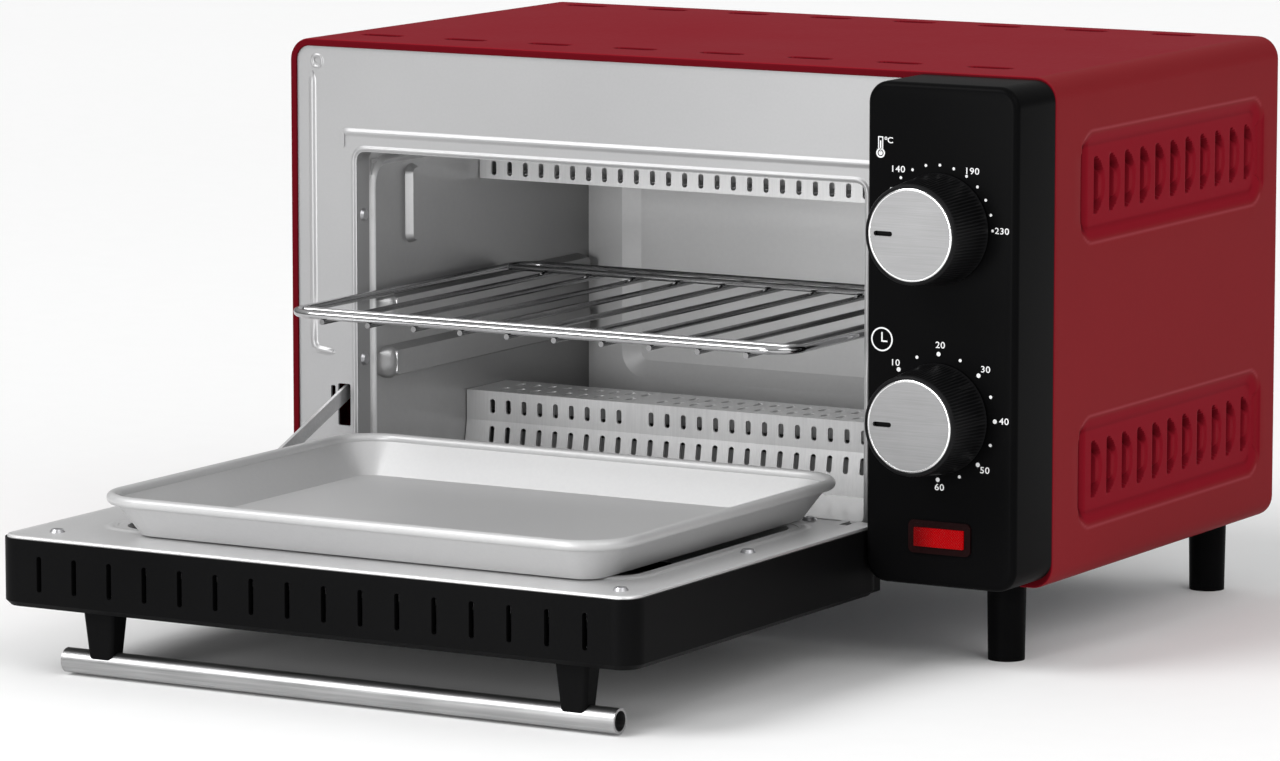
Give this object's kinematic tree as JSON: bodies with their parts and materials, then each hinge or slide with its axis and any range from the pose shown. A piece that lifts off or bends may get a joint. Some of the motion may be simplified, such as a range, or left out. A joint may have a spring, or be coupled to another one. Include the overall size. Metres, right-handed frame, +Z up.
{
  "type": "toaster oven",
  "caption": "Countertop toaster oven with fold-down glass door, wire shelf, baking tray, perforated heater guards, side control panel with knobs and round feet.",
  "frame": {"origin": "middle of the footprint at floor level, with the door folded down", "axes": "+Z up, +X to the control side as seen from the front, -Y towards the user"},
  "size_m": [0.35, 0.4154, 0.23],
  "materials": {
    "cover_red": "satin enamel, deep red",
    "zinc_sheet": "zinc-coated steel sheet, plain",
    "facia_steel": "satin silver grey",
    "cavity_steel": "satin aluminised steel",
    "guard_steel": "satin perforated steel",
    "fastener_steel": "plated",
    "black_plastic": "black, fine satin",
    "foot_rubber": "black moulded",
    "knob_black": "black moulded",
    "knob_face": "turned and brushed",
    "shaft_steel": "turned",
    "control_case": "moulded casing",
    "copper_bulb": "drawn copper",
    "lamp_bezel": "dark red moulded",
    "lamp_red": "clear red",
    "lamp_glass": "neon bulb",
    "heater_sheath": "heat-darkened sheath",
    "bush_ceramic": "unglazed",
    "terminal_plastic": "moulded block",
    "door_glass": "tempered, lightly tinted",
    "gasket_rubber": "silicone",
    "liner_steel": "satin",
    "handle_steel": "brushed stainless",
    "tray_grey": "light grey non-stick coat",
    "rack_chrome": "bright chrome plate"
  },
  "bodies": {
    "oven_body": {"back_panel": "zinc_sheet", "back_screws": "fastener_steel", "base_plate": "zinc_sheet", "cavity_back_wall": "cavity_steel", "cavity_ceiling": "cavity_steel", "cavity_floor": "cavity_steel", "cavity_left_wall": "cavity_steel", "cavity_right_wall": "cavity_steel", "cavity_rivets": "fastener_steel", "control_panel_housing": "black_plastic", "control_panel_screws": "fastener_steel", "cord_inlet_bush": "black_plastic", "foot_front_left": "foot_rubber", "foot_front_right": "foot_rubber", "foot_rear_left": "foot_rubber", "foot_rear_right": "foot_rubber", "foot_screws": "fastener_steel", "front_facia": "facia_steel", "heat_shield": "zinc_sheet", "hinge_bracket_left": "fastener_steel", "hinge_bracket_right": "fastener_steel", "hinge_pin_left": "fastener_steel", "hinge_pin_right": "fastener_steel", "indicator_bezel": "lamp_bezel", "indicator_lens": "lamp_red", "indicator_neon": "lamp_glass", "lower_ceramic_bushes": "bush_ceramic", "lower_heater_guard": "guard_steel", "lower_heating_tube": "heater_sheath", "outer_cover": "cover_red", "terminal_block": "terminal_plastic", "thermostat_bulb": "copper_bulb", "thermostat_case": "control_case", "timer_case": "control_case", "upper_ceramic_bushes": "bush_ceramic", "upper_heater_guard": "guard_steel", "upper_heating_tube": "heater_sheath"},
    "door": {"door_frame": "black_plastic", "door_glass": "door_glass", "door_glass_gasket": "gasket_rubber", "door_inner_panel": "liner_steel", "door_panel_screws": "fastener_steel", "handle_post_left": "black_plastic", "handle_post_right": "black_plastic", "handle_screws": "fastener_steel", "handle_tube": "handle_steel", "stay_ear": "fastener_steel"},
    "stay": {"stay_arm": "fastener_steel"},
    "tray": {"baking_tray": "tray_grey"},
    "shelf": {"wire_rack": "rack_chrome", "rack_bars": "rack_chrome"},
    "timer_knob": {"timer_shaft": "shaft_steel", "timer_knob_grip": "knob_black", "timer_knob_face": "knob_face"},
    "thermostat_knob": {"thermostat_shaft": "shaft_steel", "thermostat_knob_grip": "knob_black", "thermostat_knob_face": "knob_face"}
  },
  "joints": [
    {"name": "door_hinge", "type": "hinge", "parent": "oven_body", "child": "door", "pos_m": [-0.033, -0.01675, 0.036], "axis": [-1, 0, 0], "range_deg": [0, 90]},
    {"name": "timer_turn", "type": "hinge", "parent": "oven_body", "child": "timer_knob", "pos_m": [0.1418, -0.03775, 0.1], "axis": [0, 1, 0], "range_deg": [0, 270]},
    {"name": "thermostat_turn", "type": "hinge", "parent": "oven_body", "child": "thermostat_knob", "pos_m": [0.1418, -0.03775, 0.1734], "axis": [0, 1, 0], "range_deg": [0, 200]},
    {"name": "shelf_slide", "type": "slide", "parent": "oven_body", "child": "shelf", "axis": [0, 1, 0], "range_m": [0, 0.0601]},
    {"name": "tray_lift_off", "type": "hinge", "parent": "oven_body", "child": "tray", "pos_m": [-0.024, 0.00425, 0.1508], "axis": [-1, 0, 0], "range_deg": [0, 180.2]},
    {"name": "stay_pivot", "type": "hinge", "parent": "door", "child": "stay", "pos_m": [-0.1506, -0.06175, 0.058], "axis": [1, 0, 0], "range_deg": [0, 36.2]}
  ],
  "couplings": [
    {"joint": "shelf_slide", "follows": "door_hinge", "m_per_rad": 0.038197},
    {"joint": "tray_lift_off", "follows": "door_hinge", "ratio": 2},
    {"joint": "stay_pivot", "follows": "door_hinge", "ratio": 0.4}
  ]
}
